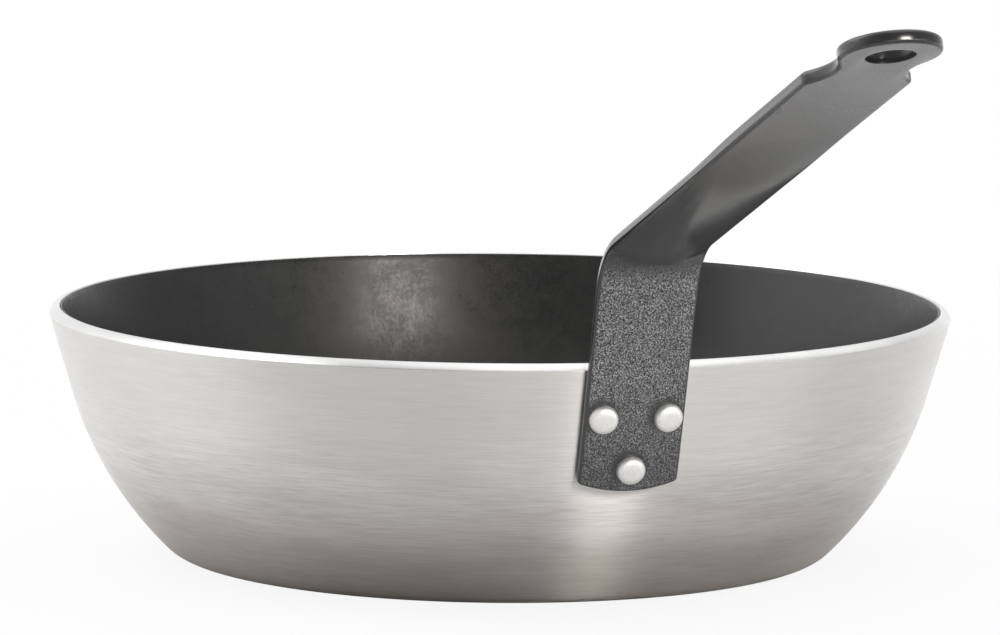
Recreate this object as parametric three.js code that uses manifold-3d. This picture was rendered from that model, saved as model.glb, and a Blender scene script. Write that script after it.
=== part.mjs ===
// Saute pan: a thick aluminium pan with a rounded, flaring wall and a dark non-stick lining.
// A bent strip-steel handle ends in a hanging eye; three solid rivets hold its foot to the wall.
// Millimetres, +Z up. The origin is the centre of the base, and the handle points along +X.

import * as THREE from "three";
import { mergeVertices } from "three/addons/utils/BufferGeometryUtils.js";
import Module from "manifold-3d";

const wasm = await Module();
wasm.setup();

const { degToRad, lerp, smoothstep } = THREE.MathUtils;

// Pan
const RIM_DIAMETER = 280.4; // outer wall, carried up to the top of the rim
const PAN_HEIGHT = 77.2;
const WALL_LEAN = degToRad(16.5); // conical upper wall, from vertical
const CONE_HEIGHT = 26.5; // conical upper wall, down from the rim
const BELLY_RADIUS = 110; // curved lower wall
const HEEL_RADIUS = 12; // turn from the wall into the flat base
const WALL_GAUGE = 3.7;
const RIM_BEVEL_DROP = 1.9; // outer corner of the rim, dressed to a slope
const RIM_CROWN = 0.35; // swell of that slope

// Non-stick lining
const LINING_THICKNESS = 0.5;
const LINING_GAP = 0.1; // lining to wall
const LINING_SETBACK = 0.3; // bare metal above the lining's edge

// Handle strip
const STRIP_WIDTH = 30.2;
const STRIP_THICKNESS = 3.8;
const STRIP_EDGE_BREAK = 0.5; // chamfer along the strip's edges
const SEAT_GAP = 0.25; // strip to wall
const FOOT_DROP = 39.2; // along the wall, from the rim's level to the foot's lowest point
const FOOT_SAG = 2.6; // rounding of the foot's lower edge
const NECK_RISE = 24.8; // straight strip above the rim's level
const BEND_RADIUS = 21.9; // hollow side of the bend
const GRIP_RISE = degToRad(20.5); // grip, from horizontal
const GRIP_LENGTH = 199.6; // end of the bend to the centre of the eye

// Trough pressed into the grip beside the bend, for stiffness
const TROUGH_RADIUS = 37.4;
const TROUGH_LENGTH = 66; // at full depth, from the end of the bend
const TROUGH_RUNOUT = 56; // fading out to the flat strip

// Hanging eye
const EYE_RADIUS = 13.7;
const EYE_HOLE_RADIUS = 6.6;
const SHOULDER_SETBACK = 26.3; // centre of the eye back to the strip's shoulders
const SCALLOP_RADIUS = 18; // hollow between a shoulder and the eye

// Rivets
const RIVET_SPACING = 19; // between the two upper rivets
const UPPER_RIVET_RISE = 23.6; // along the strip, above the foot's lowest point
const LOWER_RIVET_RISE = 7.3;
const SHANK_RADIUS = 2.4;
const SHANK_CLEARANCE = 0.2; // shank to hole, all round
const HEAD_GAP = 0.3; // head to the face under it
const OUTER_HEAD_RADIUS = 4.3;
const OUTER_HEAD_HEIGHT = 2.6;
const INNER_HEAD_RADIUS = 4.5;
const INNER_HEAD_HEIGHT = 1.5;
const HEAD_RIM = 0.5; // straight side of a head, below its dome

// Facets
const TURN_STEPS = 72;
const HEEL_STEPS = 4;
const BELLY_STEPS = 8;
const RIM_STEPS = 3;
const FOOT_STEPS = 8;
const BEND_STEPS = 8;
const TROUGH_STEPS = 14;
const SCALLOP_STEPS = 6;
const EYE_STEPS = 9;
const STRIP_COLUMNS = 8;
const HOLE_STEPS = 32;
const RIVET_STEPS = 24;
const DOME_STEPS = 4;

// Making of the solids
const MERGE_DISTANCE = 1e-4; // points closer than this are one
const DRILL_OVERRUN = 4; // a drill's length past each face

const aluminium = new THREE.MeshStandardMaterial({ color: 0xc4c2be, roughness: 0.42, metalness: 1 });
const coating = new THREE.MeshStandardMaterial({ color: 0x33322f, roughness: 0.55, metalness: 0 });
const hammertone = new THREE.MeshStandardMaterial({ color: 0x55565a, roughness: 0.45, metalness: 0.3 });
const rivetMetal = new THREE.MeshStandardMaterial({ color: 0xd8d7d3, roughness: 0.35, metalness: 1 });

// Solids: a closed geometry is cut by others.
function toSolid(geometry) {
  const bare = geometry.clone();
  bare.deleteAttribute("normal");
  bare.deleteAttribute("uv");
  const merged = mergeVertices(bare, MERGE_DISTANCE);
  const triVerts = [];
  for (let i = 0; i < merged.index.count; i += 3) {
    const corners = [merged.index.getX(i), merged.index.getX(i + 1), merged.index.getX(i + 2)];
    if (new Set(corners).size === 3) {
      triVerts.push(...corners);
    }
  }
  const mesh = new wasm.Mesh({
    numProp: 3,
    vertProperties: merged.attributes.position.array,
    triVerts: Uint32Array.from(triVerts),
  });
  return new wasm.Manifold(mesh);
}

function cut(geometry, cutters) {
  const solid = cutters.reduce((left, cutter) => left.subtract(toSolid(cutter)), toSolid(geometry));
  const mesh = solid.getMesh();
  const result = new THREE.BufferGeometry();
  result.setAttribute("position", new THREE.BufferAttribute(mesh.vertProperties, 3));
  result.setIndex(new THREE.BufferAttribute(mesh.triVerts, 1));
  result.computeVertexNormals();
  return result;
}

// Outlines: points as (radius, height) of a section, or (along, across) of the strip.
function arc(centre, radius, from, to, steps) {
  const points = [];
  for (let i = 0; i <= steps; i += 1) {
    const angle = lerp(from, to, i / steps);
    points.push(new THREE.Vector2(Math.cos(angle), Math.sin(angle)).multiplyScalar(radius).add(centre));
  }
  return points;
}

function revolve(section, steps) {
  return new THREE.LatheGeometry(section, steps).rotateX(Math.PI / 2);
}

// Wall: flat base, heel arc, belly arc and cone, each tangent to the next.
const rimRadius = RIM_DIAMETER / 2;
const coneLength = CONE_HEIGHT / Math.cos(WALL_LEAN);
const wallUp = new THREE.Vector2(Math.sin(WALL_LEAN), Math.cos(WALL_LEAN));
const wallOut = new THREE.Vector2(Math.cos(WALL_LEAN), -Math.sin(WALL_LEAN));
const wallTop = new THREE.Vector2(rimRadius, PAN_HEIGHT);
const coneFoot = wallTop.clone().addScaledVector(wallUp, -coneLength);
const bellyCentre = coneFoot.clone().addScaledVector(wallOut, -BELLY_RADIUS);
const heelReach = Math.sqrt((BELLY_RADIUS - HEEL_RADIUS) ** 2 - (bellyCentre.y - HEEL_RADIUS) ** 2);
const heelCentre = new THREE.Vector2(bellyCentre.x + heelReach, HEEL_RADIUS);
const heelAngle = Math.atan2(heelCentre.y - bellyCentre.y, heelCentre.x - bellyCentre.x);

// Half-section from the axis out and up to a height, set in from the outer face.
function wallSection(inset, top) {
  const topRadius = rimRadius - (PAN_HEIGHT - top) * Math.tan(WALL_LEAN) - inset / Math.cos(WALL_LEAN);
  return [
    new THREE.Vector2(0, inset),
    ...arc(heelCentre, HEEL_RADIUS - inset, -Math.PI / 2, heelAngle, HEEL_STEPS),
    ...arc(bellyCentre, BELLY_RADIUS - inset, heelAngle, -WALL_LEAN, BELLY_STEPS).slice(1),
    new THREE.Vector2(topRadius, top),
  ];
}

// Place on the outer wall at a distance below the rim, along the wall. Above the rim the cone runs on.
function wallPlace(drop) {
  const turn = Math.max(0, drop - coneLength) / BELLY_RADIUS;
  const lean = WALL_LEAN + turn;
  const onCone = wallTop.clone().addScaledVector(wallUp, -Math.min(drop, coneLength));
  const point = onCone.clone().addScaledVector(wallOut, -BELLY_RADIUS);
  point.add(new THREE.Vector2(Math.cos(lean), -Math.sin(lean)).multiplyScalar(BELLY_RADIUS));
  return { point, lean };
}

function panBody(holes) {
  const outside = wallSection(0, PAN_HEIGHT - RIM_BEVEL_DROP);
  const inside = wallSection(WALL_GAUGE, PAN_HEIGHT).reverse();
  const bevelFoot = outside.at(-1);
  const bevelTop = inside[0];
  const bevelOut = new THREE.Vector2(bevelTop.y - bevelFoot.y, bevelFoot.x - bevelTop.x).normalize();
  const control = bevelFoot.clone().lerp(bevelTop, 1 / 2).addScaledVector(bevelOut, 2 * RIM_CROWN);
  const bevel = new THREE.QuadraticBezierCurve(bevelFoot, control, bevelTop).getPoints(RIM_STEPS);
  const section = [...outside, ...bevel.slice(1, -1), ...inside];
  return cut(revolve(section, TURN_STEPS), holes);
}

const liningOutside = WALL_GAUGE + LINING_GAP;
const liningInside = liningOutside + LINING_THICKNESS;

function lining(holes) {
  const top = PAN_HEIGHT - LINING_SETBACK;
  const section = [...wallSection(liningOutside, top), ...wallSection(liningInside, top).reverse()];
  return cut(revolve(section, TURN_STEPS), holes);
}

// Handle: a flat blank, curled across its width and bent along its length.
const stripHalf = STRIP_WIDTH / 2;
const bendMidRadius = BEND_RADIUS + STRIP_THICKNESS / 2;
const bendTurn = Math.PI / 2 - WALL_LEAN - GRIP_RISE;
const bendStart = FOOT_DROP + NECK_RISE;
const bendEnd = bendStart + bendTurn * bendMidRadius;
const troughEnd = bendEnd + TROUGH_LENGTH;
const flatStart = troughEnd + TROUGH_RUNOUT;
const eyeAlong = bendEnd + GRIP_LENGTH;

// How far the strip's edges stand back from its middle when it is curled across.
function sagitta(curl, across) {
  return curl > 0 ? (1 - Math.cos(across * curl)) / curl : 0;
}

// The foot takes the curl of the wall, and the grip that of its trough.
const footMiddle = wallPlace(FOOT_DROP / 2);
const footCurl = 1 / (footMiddle.point.x / Math.cos(footMiddle.lean) + SEAT_GAP + STRIP_THICKNESS / 2);
const seatOffset = SEAT_GAP + STRIP_THICKNESS / 2 - sagitta(footCurl, stripHalf);

function curlAt(along) {
  const entered = lerp(footCurl, 1 / TROUGH_RADIUS, smoothstep(along, bendStart, bendEnd));
  return entered * (1 - smoothstep(along, troughEnd, flatStart));
}

// Line of the strip's edges, at mid thickness: up the wall, round the bend and out along the grip.
function stripPlace(along) {
  const { point, lean: wallLean } = wallPlace(FOOT_DROP - Math.min(along, bendStart));
  point.addScaledVector(new THREE.Vector2(Math.cos(wallLean), -Math.sin(wallLean)), seatOffset);
  const turn = THREE.MathUtils.clamp((along - bendStart) / bendMidRadius, 0, bendTurn);
  const straight = Math.max(0, along - bendEnd);
  const lean = wallLean + turn;
  point.x += bendMidRadius * (Math.cos(wallLean) - Math.cos(lean)) + straight * Math.sin(lean);
  point.y += bendMidRadius * (Math.sin(lean) - Math.sin(wallLean)) + straight * Math.cos(lean);
  return { point, lean };
}

// Point of the strip; depth counts from mid thickness towards the pan-side face.
function stripPoint(along, across, depth) {
  const { point, lean } = stripPlace(along);
  const curl = curlAt(along);
  const tilt = across * curl;
  const outward = sagitta(curl, stripHalf) - sagitta(curl, across) - depth * Math.cos(tilt);
  const sideways = (curl > 0 ? Math.sin(tilt) / curl : across) - depth * Math.sin(tilt);
  const radius = point.x + outward * Math.cos(lean);
  const height = point.y - outward * Math.sin(lean);
  return new THREE.Vector3(radius, sideways, height);
}

// Rows of the blank, from the foot to the eye, each with half its width.
function stripRows() {
  const rows = [];
  const addStretch = (from, to, steps) => {
    for (let i = 0; i < steps; i += 1) {
      rows.push({ along: lerp(from, to, i / steps), half: stripHalf });
    }
  };
  addStretch(0, bendStart, FOOT_STEPS);
  addStretch(bendStart, bendEnd, BEND_STEPS);
  addStretch(bendEnd, flatStart, TROUGH_STEPS);
  addStretch(flatStart, eyeAlong - SHOULDER_SETBACK, 1);
  for (const point of eyeOutline()) {
    rows.push({ along: eyeAlong + point.x, half: point.y });
  }
  return rows;
}

// Edge of the eye end, about the eye's centre: a hollow arc from the shoulder, then the round eye.
function eyeOutline() {
  const shoulder = new THREE.Vector2(-SHOULDER_SETBACK, stripHalf);
  const reach = EYE_RADIUS + SCALLOP_RADIUS;
  const span = shoulder.length();
  const foot = (reach ** 2 - SCALLOP_RADIUS ** 2 + span ** 2) / (2 * span);
  const toShoulder = shoulder.clone().normalize();
  const square = new THREE.Vector2(toShoulder.y, -toShoulder.x);
  const centre = toShoulder.clone().multiplyScalar(foot);
  centre.addScaledVector(square, Math.sqrt(reach ** 2 - foot ** 2));
  const hollowFrom = Math.atan2(shoulder.y - centre.y, shoulder.x - centre.x);
  const hollowTo = Math.atan2(-centre.y, -centre.x);
  const eyeFrom = Math.atan2(centre.y, centre.x);
  const eyeTo = eyeFrom / (2 * EYE_STEPS + 1);
  return [
    ...arc(centre, SCALLOP_RADIUS, hollowFrom, hollowTo, SCALLOP_STEPS),
    ...arc(new THREE.Vector2(), EYE_RADIUS, eyeFrom, eyeTo, EYE_STEPS).slice(1),
  ];
}

// A box of rows and columns is the blank; each of its points is moved to its place on the bent strip.
function bentStrip() {
  const rows = stripRows();
  const lastRow = rows.length - 1;
  const lastColumn = STRIP_COLUMNS + 2; // a chamfer on each side
  const strip = new THREE.BoxGeometry(lastRow, lastColumn, 1, lastRow, lastColumn, 1);
  const position = strip.attributes.position;
  for (let i = 0; i < position.count; i += 1) {
    const { along, half } = rows[Math.round(position.getX(i) + lastRow / 2)];
    const column = Math.round(position.getY(i) + lastColumn / 2);
    const onEdge = column === 0 || column === lastColumn;
    const across = onEdge
      ? Math.sign(column - 1) * half
      : (half - STRIP_EDGE_BREAK) * lerp(-1, 1, (column - 1) / STRIP_COLUMNS);
    const depth = STRIP_THICKNESS / 2 - (onEdge ? STRIP_EDGE_BREAK : 0);
    const sag = FOOT_SAG * (across / stripHalf) ** 2 * Math.max(0, 1 - along / bendStart);
    const point = stripPoint(along + sag, across, Math.sign(position.getZ(i)) * depth);
    position.setXYZ(i, point.x, point.y, point.z);
  }
  return strip;
}

// Frame square to the wall or the strip: local Z points out of the pan.
function squareTo({ point, lean }) {
  const frame = new THREE.Group();
  frame.position.set(point.x, 0, point.y);
  frame.rotation.y = Math.PI / 2 + lean;
  return frame;
}

function drill(radius, length, frame, steps) {
  frame.updateWorldMatrix(true, false);
  return new THREE.CylinderGeometry(radius, radius, length, steps)
    .rotateX(Math.PI / 2)
    .applyMatrix4(frame.matrixWorld);
}

function handle(holes) {
  const eye = squareTo(stripPlace(eyeAlong));
  const eyeHole = drill(EYE_HOLE_RADIUS, STRIP_THICKNESS + 2 * DRILL_OVERRUN, eye, HOLE_STEPS);
  return cut(bentStrip(), [...holes, eyeHole]);
}

// Rivets: one turned solid each, with a head on the strip and a head inside the pan.
const outerSeat = SEAT_GAP + STRIP_THICKNESS + HEAD_GAP;
const innerSeat = -(liningInside + HEAD_GAP);

// Half-section of a head: a straight side from its seat, then a dome. The way is 1 out, -1 into the pan.
function rivetHead(seat, way, radius, height) {
  const side = new THREE.Vector2(radius, seat);
  const dome = arc(new THREE.Vector2(), 1, 0, Math.PI / 2, DOME_STEPS).map((point) => {
    const rise = HEAD_RIM + (height - HEAD_RIM) * point.y;
    return new THREE.Vector2(radius * point.x, seat + way * rise);
  });
  return [side, ...dome];
}

function rivet() {
  const section = [
    ...rivetHead(innerSeat, -1, INNER_HEAD_RADIUS, INNER_HEAD_HEIGHT).reverse(),
    new THREE.Vector2(SHANK_RADIUS, innerSeat),
    new THREE.Vector2(SHANK_RADIUS, outerSeat),
    ...rivetHead(outerSeat, 1, OUTER_HEAD_RADIUS, OUTER_HEAD_HEIGHT),
  ];
  return revolve(section, RIVET_STEPS);
}

// A rivet's place: square to the wall, then turned about the pan's axis across the strip.
function rivetStation(name, rise, across) {
  const wall = wallPlace(FOOT_DROP - rise);
  const frame = squareTo(wall);
  const station = new THREE.Group();
  station.rotation.z = Math.asin(across / wall.point.x);
  station.add(frame);
  return { name, station, frame };
}

const rivets = [
  rivetStation("rivet_upper_left", UPPER_RIVET_RISE, -RIVET_SPACING / 2),
  rivetStation("rivet_upper_right", UPPER_RIVET_RISE, RIVET_SPACING / 2),
  rivetStation("rivet_lower", LOWER_RIVET_RISE, 0),
];
const holeRadius = SHANK_RADIUS + SHANK_CLEARANCE;
const holeLength = 2 * (Math.max(outerSeat, -innerSeat) + DRILL_OVERRUN);
const rivetHoles = rivets.map(({ frame }) => drill(holeRadius, holeLength, frame, RIVET_STEPS));

// Assembly
const group = new THREE.Group();

function addPart(name, geometry, material, parent = group) {
  const mesh = new THREE.Mesh(geometry, material);
  mesh.name = name;
  parent.add(mesh);
}

addPart("pan_body", panBody(rivetHoles), aluminium);
addPart("nonstick_lining", lining(rivetHoles), coating);
addPart("handle", handle(rivetHoles), hammertone);
for (const { name, station, frame } of rivets) {
  addPart(name, rivet(), rivetMetal, frame);
  group.add(station);
}

export default group;
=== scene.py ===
# %% [markdown]
# # A saute pan with a riveted strip handle
#
# This lesson dresses the measured model of a heavy aluminium pan. The measured solids give every size and
# place. Blender adds the fine round surfaces, the softened edges and the finishes. All lengths are in
# metres, +Z is up, the origin lies under the middle of the base, and the handle points along +X.

# %% Load the measured solids
import math

import bmesh
import bpy
import numpy as np
from mathutils import Matrix, Vector


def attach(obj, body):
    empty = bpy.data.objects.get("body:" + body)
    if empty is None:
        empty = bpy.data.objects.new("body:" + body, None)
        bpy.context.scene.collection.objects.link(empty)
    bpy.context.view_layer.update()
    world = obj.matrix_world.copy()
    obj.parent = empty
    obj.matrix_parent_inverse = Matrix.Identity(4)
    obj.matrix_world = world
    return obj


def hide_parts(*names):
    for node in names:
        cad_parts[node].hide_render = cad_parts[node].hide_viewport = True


MM = 0.001
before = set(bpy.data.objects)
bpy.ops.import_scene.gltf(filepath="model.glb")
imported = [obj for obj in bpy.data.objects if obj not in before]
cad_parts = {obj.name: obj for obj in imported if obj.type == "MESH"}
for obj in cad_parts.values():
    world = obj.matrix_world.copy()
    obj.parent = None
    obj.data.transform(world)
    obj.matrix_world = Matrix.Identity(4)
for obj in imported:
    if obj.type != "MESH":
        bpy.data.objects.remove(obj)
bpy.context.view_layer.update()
scene = bpy.context.scene
print("solids:", ", ".join(sorted(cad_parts)))

# %% [markdown]
# ## The camera
#
# The picture was taken with a long lens from two metres away, a little above the rim and to one side of the
# handle. A camera could be turned by hand until it looks right. Here its three axes are worked out from the
# angles, because then each angle has a name and can be corrected by itself. The picture also leans by half
# a degree, so the camera is rolled by as much.

# %% Camera
PICTURE_WIDTH = 1000  # pixels
FOCAL_LENGTH = 6449.8  # pixels
SENSOR_WIDTH = 36.0  # millimetres, as Blender counts lenses
CAMERA_DISTANCE = 2.0
CAMERA_SIDE = math.radians(16.49)  # from the handle's direction
CAMERA_RISE = math.radians(7.168)
CAMERA_ROLL = math.radians(0.507)
RIM_MIDDLE = Vector((0, 0, 77.2 * MM))
AIM_RIGHT = -0.03 * MM  # the picture's middle, from the middle of the rim
AIM_DOWN = 4.1 * MM


def direction(side, rise):
    """The direction at an angle round from the handle and an angle above the floor."""
    return Vector((math.cos(rise) * math.cos(side), math.cos(rise) * math.sin(side), math.sin(rise)))


to_camera = direction(-CAMERA_SIDE, CAMERA_RISE)
level = Vector((math.sin(CAMERA_SIDE), math.cos(CAMERA_SIDE), 0))
upright = to_camera.cross(level)
picture_right = level * math.cos(CAMERA_ROLL) + upright * math.sin(CAMERA_ROLL)
picture_up = upright * math.cos(CAMERA_ROLL) - level * math.sin(CAMERA_ROLL)

lens = bpy.data.cameras.new("camera")
lens.sensor_width = SENSOR_WIDTH
lens.lens = FOCAL_LENGTH * SENSOR_WIDTH / PICTURE_WIDTH
camera = bpy.data.objects.new("camera", lens)
scene.collection.objects.link(camera)
scene.camera = camera

camera_place = RIM_MIDDLE + to_camera * CAMERA_DISTANCE
aim = RIM_MIDDLE + picture_right * AIM_RIGHT - picture_up * AIM_DOWN
axis_z = (camera_place - aim).normalized()
axis_y = axis_z.cross(picture_right).normalized()
axis_x = axis_y.cross(axis_z)
camera_turn = Matrix((axis_x, axis_y, axis_z)).transposed()
camera.matrix_world = Matrix.Translation(camera_place) @ camera_turn.to_4x4()
print("lens in mm:", round(lens.lens, 1))

# %% [markdown]
# ## The line of the wall
#
# Cut through the middle, the pan is one line: a flat base, a tight heel, a long belly curve and a straight
# flare up to the rim. Each stretch runs smoothly into the next, because the arcs share tangents. Drawing it
# from arcs, rather than from points read off a picture, keeps the light running evenly over the metal. The
# inside is the same line, set in by the gauge of the metal.

# %% Line of the wall
RIM_RADIUS = 140.2 * MM
PAN_HEIGHT = 77.2 * MM
WALL_LEAN = math.radians(16.5)
CONE_HEIGHT = 26.5 * MM
BELLY_RADIUS = 110 * MM
HEEL_RADIUS = 12 * MM
WALL_GAUGE = 3.7 * MM
BASE_STEPS = 6
HEEL_STEPS = 14
BELLY_STEPS = 36
CONE_STEPS = 14

wall_up = np.array([math.sin(WALL_LEAN), math.cos(WALL_LEAN)])
wall_out = np.array([math.cos(WALL_LEAN), -math.sin(WALL_LEAN)])
wall_top = np.array([RIM_RADIUS, PAN_HEIGHT])
cone_length = CONE_HEIGHT / math.cos(WALL_LEAN)
belly_centre = wall_top - cone_length * wall_up - BELLY_RADIUS * wall_out
heel_reach = math.sqrt((BELLY_RADIUS - HEEL_RADIUS) ** 2 - (belly_centre[1] - HEEL_RADIUS) ** 2)
heel_centre = np.array([belly_centre[0] + heel_reach, HEEL_RADIUS])
heel_angle = math.atan2(HEEL_RADIUS - belly_centre[1], heel_reach)


def arc(centre, radius, start, end, steps):
    """Points (radius, height) of an arc, both ends included."""
    angles = np.linspace(start, end, steps + 1)
    return np.asarray(centre) + radius * np.column_stack([np.cos(angles), np.sin(angles)])


def wall_line(inset, top):
    """The wall's line from the axis to a height, set in from the outer face."""
    heel = arc(heel_centre, HEEL_RADIUS - inset, -math.pi / 2, heel_angle, HEEL_STEPS)
    belly = arc(belly_centre, BELLY_RADIUS - inset, heel_angle, -WALL_LEAN, BELLY_STEPS)
    base = np.linspace((0, inset), heel[0], BASE_STEPS + 1)
    top_radius = RIM_RADIUS - (PAN_HEIGHT - top) * math.tan(WALL_LEAN) - inset / math.cos(WALL_LEAN)
    cone = np.linspace(belly[-1], (top_radius, top), CONE_STEPS + 1)
    return np.vstack([base, heel[1:], belly[1:], cone[1:]])


print("flat base across in mm:", round(2 * heel_centre[0] / MM, 1))

# %% [markdown]
# ## Turning a line into a solid
#
# A lathe turns a line about an axis. Blender's Screw modifier can do it, but a few lines of code give
# control over the poles: each end of the line lies on the axis, where one point closes the surface. Sharp
# corners never happen on real metal, so a second helper swaps a corner of the line for a small arc.

# %% Lathe and small rounding
TURNS = 240


def corner_arc(before, corner, after, radius, steps=5):
    """A small arc in place of a corner between two straight lines."""
    to_before = (before - corner) / np.linalg.norm(before - corner)
    to_after = (after - corner) / np.linalg.norm(after - corner)
    half = math.acos(np.clip(to_before @ to_after, -1, 1)) / 2
    inward = (to_before + to_after) / np.linalg.norm(to_before + to_after)
    centre = corner + inward * radius / math.sin(half)
    start = corner + to_before * radius / math.tan(half) - centre
    end = corner + to_after * radius / math.tan(half) - centre
    sweep = math.pi - 2 * half
    parts = np.linspace(0, 1, steps + 1)[:, None]
    return centre + (np.sin((1 - parts) * sweep) * start + np.sin(parts * sweep) * end) / math.sin(sweep)


def new_piece(name, points, faces):
    """A smooth-shaded mesh object at the origin."""
    mesh = bpy.data.meshes.new(name)
    mesh.from_pydata(np.asarray(points).tolist(), [], faces)
    mesh.polygons.foreach_set("use_smooth", np.ones(len(mesh.polygons), bool))
    piece = bpy.data.objects.new(name, mesh)
    scene.collection.objects.link(piece)
    return piece


def turned(name, line):
    """A solid of revolution. The line starts and ends on the axis and runs along the outside first."""
    angles = np.linspace(0, 2 * math.pi, TURNS, endpoint=False)
    rings = line[1:-1]
    circle = np.column_stack([np.cos(angles), np.sin(angles)])
    flat = rings[:, None, :1] * circle[None]
    height = np.repeat(rings[:, None, 1:], TURNS, axis=1)
    points = np.concatenate([flat, height], axis=2).reshape(-1, 3)
    first, last = len(points), len(points) + 1
    points = np.vstack([points, [0, 0, line[0][1]], [0, 0, line[-1][1]]])
    faces = []
    for j in range(TURNS):
        k = (j + 1) % TURNS
        faces.append((first, k, j))
        for i in range(len(rings) - 1):
            low, high = i * TURNS, (i + 1) * TURNS
            faces.append((low + j, low + k, high + k, high + j))
        top = (len(rings) - 1) * TURNS
        faces.append((top + j, top + k, last))
    return new_piece(name, points, faces)


print("steps in a turn:", TURNS)

# %% [markdown]
# ## The pan
#
# The real body is pressed from thick aluminium sheet and then turned, and its cut edge is dressed to a
# bright slope that falls towards the outside. Subdivision would round that crisp slope away, so it is drawn
# in the line itself: a slightly crowned slope between two small arcs.

# %% Pan body
RIM_SLOPE_DROP = 1.9 * MM
RIM_CROWN = 0.35 * MM
RIM_EDGE = 0.3 * MM
CROWN_STEPS = 12
EDGE_SHARE = 2  # steps at each end of the slope that give way to the small arcs

outside = wall_line(0, PAN_HEIGHT - RIM_SLOPE_DROP)
inside = wall_line(WALL_GAUGE, PAN_HEIGHT)[::-1]
slope_foot, slope_top = outside[-1], inside[0]
slope = slope_top - slope_foot
slope_out = np.array([slope[1], -slope[0]]) / np.linalg.norm(slope)
parts = np.linspace(0, 1, CROWN_STEPS + 1)[EDGE_SHARE:-EDGE_SHARE, None]
crown = slope_foot + parts * slope + slope_out * 4 * RIM_CROWN * parts * (1 - parts)
foot_edge = corner_arc(outside[-2], slope_foot, crown[0], RIM_EDGE)
top_edge = corner_arc(crown[-1], slope_top, inside[1], RIM_EDGE)
body_line = np.vstack([outside[:-1], foot_edge, crown, top_edge, inside[1:]])
pan_body = turned("pan_body_dressed", body_line)
print("pan body faces:", len(pan_body.data.polygons))

# %% [markdown]
# ## The lining
#
# The non-stick coating is a thin dark skin over the whole inside, ending just below the bright slope of the
# rim. It could be a second colour on the pan's own faces. As its own shell it has its own finish and a
# crisp upper edge that doesn't depend on where the faces lie.

# %% Lining
LINING_THICKNESS = 0.5 * MM
LINING_GAP = 0.1 * MM
LINING_SETBACK = 0.3 * MM
LINING_EDGE = 0.15 * MM
LINING_EDGE_STEPS = 3

lining_back = WALL_GAUGE + LINING_GAP
lining_face = lining_back + LINING_THICKNESS
skin_out = wall_line(lining_back, PAN_HEIGHT - LINING_SETBACK)
skin_in = wall_line(lining_face, PAN_HEIGHT - LINING_SETBACK)[::-1]
edge_out = corner_arc(skin_out[-2], skin_out[-1], skin_in[0], LINING_EDGE, LINING_EDGE_STEPS)
edge_in = corner_arc(skin_out[-1], skin_in[0], skin_in[1], LINING_EDGE, LINING_EDGE_STEPS)
lining = turned("lining_dressed", np.vstack([skin_out[:-1], edge_out, edge_in, skin_in[1:]]))
print("lining faces:", len(lining.data.polygons))

# %% [markdown]
# ## The rule of the handle
#
# The handle is one steel strip. A press cuts it flat, a second tool curls its foot to the pan and presses a
# trough beside the bend, and the bend itself sends it out and up. The same order works here: a point of the
# flat blank is given by its distance along the strip, across it and through its thickness, and one rule
# says where the bent strip carries that point.

# %% Rule of the bent strip
STRIP_WIDTH = 30.2 * MM
STRIP_THICKNESS = 3.8 * MM
SEAT_GAP = 0.25 * MM
FOOT_DROP = 39.2 * MM
FOOT_SAG = 2.6 * MM
NECK_RISE = 24.8 * MM
BEND_RADIUS = 21.9 * MM
GRIP_RISE = math.radians(20.5)
GRIP_LENGTH = 199.6 * MM
TROUGH_RADIUS = 37.4 * MM
TROUGH_LENGTH = 66 * MM
TROUGH_RUNOUT = 56 * MM
LEAST_CURL = 1e-3  # nearly flat, per metre

strip_half = STRIP_WIDTH / 2
bend_middle = BEND_RADIUS + STRIP_THICKNESS / 2
bend_turn = math.pi / 2 - WALL_LEAN - GRIP_RISE
bend_start = FOOT_DROP + NECK_RISE
bend_end = bend_start + bend_turn * bend_middle
trough_end = bend_end + TROUGH_LENGTH
flat_start = trough_end + TROUGH_RUNOUT
eye_along = bend_end + GRIP_LENGTH


def eased(value, start, end):
    """0 before the start, 1 after the end and a soft S between."""
    part = np.clip((value - start) / (end - start), 0, 1)
    return part * part * (3 - 2 * part)


def sagitta(curl, across):
    """How far a curled strip stands back at a distance from its middle."""
    return (1 - np.cos(across * curl)) / curl


def wall_place(drop):
    """Point and lean of the outer wall, at distances below the rim along it."""
    lean = WALL_LEAN + np.maximum(0, drop - cone_length) / BELLY_RADIUS
    on_cone = wall_top - np.minimum(drop, cone_length)[:, None] * wall_up
    turned_out = np.column_stack([np.cos(lean), -np.sin(lean)])
    return on_cone + BELLY_RADIUS * (turned_out - wall_out), lean


foot_place, foot_lean = wall_place(np.array([FOOT_DROP / 2]))
foot_curl = 1 / (foot_place[0, 0] / math.cos(foot_lean[0]) + SEAT_GAP + STRIP_THICKNESS / 2)
seat_offset = SEAT_GAP + STRIP_THICKNESS / 2 - sagitta(foot_curl, strip_half)


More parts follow.
